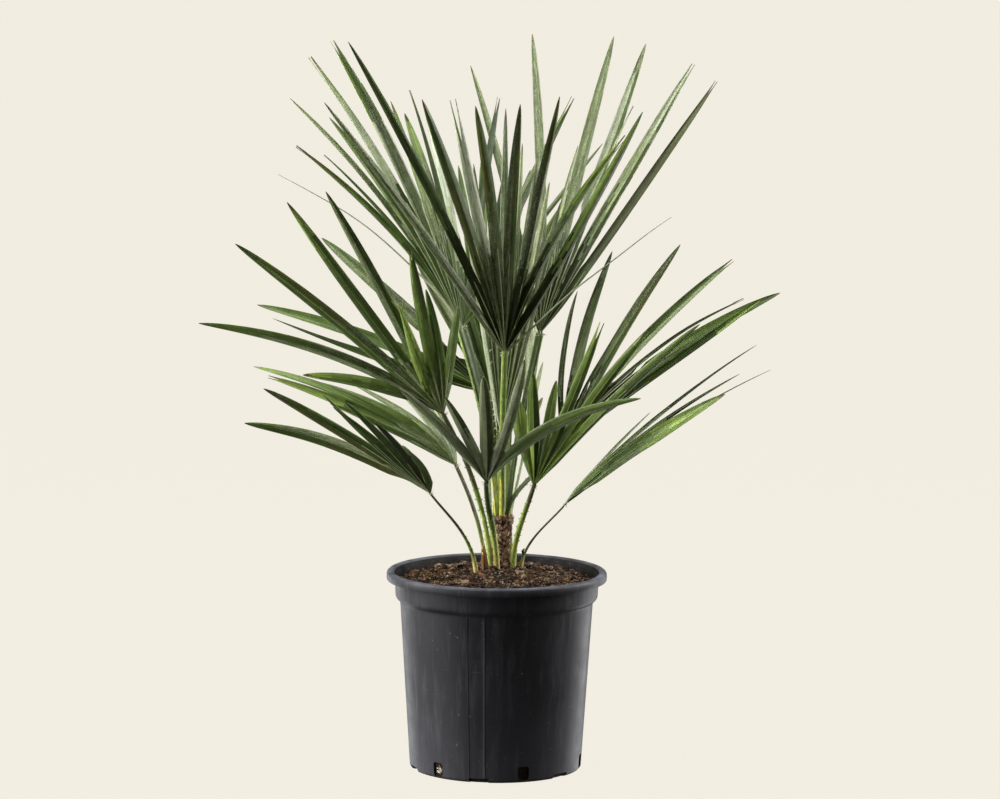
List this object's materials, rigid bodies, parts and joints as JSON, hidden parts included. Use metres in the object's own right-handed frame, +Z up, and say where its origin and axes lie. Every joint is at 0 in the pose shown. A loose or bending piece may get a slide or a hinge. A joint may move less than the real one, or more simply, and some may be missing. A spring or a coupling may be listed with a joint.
{
  "type": "potted fan palm",
  "caption": "Young fan palm with stiff, deeply split leaves on thorny stalks, growing from a short fibrous stem in a round dark nursery pot.",
  "frame": {"origin": "centre of the pot's flat underside", "axes": "+Z up along the pot's axis, -Y towards the front that the picture shows, +X to its right"},
  "size_m": [0.7283, 0.6706, 0.9411],
  "materials": {
    "pot_plastic": "blue-black recycled plastic, satin, with faint scuffs and dust",
    "potting_soil": "dark moist peat with fibres, bark crumbs and pale specks",
    "stem_fibre": "brown fibrous leaf bases",
    "spear_leaf": "yellow-green closed young leaf",
    "petiole_green": "satin green stalk with small teeth, paler at its foot",
    "leaf_green": "satin dark green leaf, paler grey-green beneath"
  },
  "bodies": {
    "root": {"pot": "pot_plastic", "soil": "potting_soil", "stem": "stem_fibre", "spear": "spear_leaf", "petiole_upper_front": "petiole_green", "blade_upper_front": "leaf_green", "petiole_upper_right": "petiole_green", "blade_upper_right": "leaf_green", "petiole_upper_left": "petiole_green", "blade_upper_left": "leaf_green", "petiole_inner_left": "petiole_green", "blade_inner_left": "leaf_green", "petiole_mid_left": "petiole_green", "blade_mid_left": "leaf_green", "petiole_low_left": "petiole_green", "blade_low_left": "leaf_green", "petiole_lowest_left": "petiole_green", "blade_lowest_left": "leaf_green", "petiole_low_front": "petiole_green", "blade_low_front": "leaf_green", "petiole_low_right_front": "petiole_green", "blade_low_right_front": "leaf_green", "petiole_mid_right": "petiole_green", "blade_mid_right": "leaf_green", "petiole_low_right": "petiole_green", "blade_low_right": "leaf_green", "petiole_back_low_left": "petiole_green", "blade_back_low_left": "leaf_green", "petiole_back_low_right": "petiole_green", "blade_back_low_right": "leaf_green", "petiole_upper_back": "petiole_green", "blade_upper_back": "leaf_green", "petiole_back_right": "petiole_green", "blade_back_right": "leaf_green", "petiole_back_left": "petiole_green", "blade_back_left": "leaf_green", "petiole_centre": "petiole_green", "blade_centre": "leaf_green"}
  },
  "joints": []
}
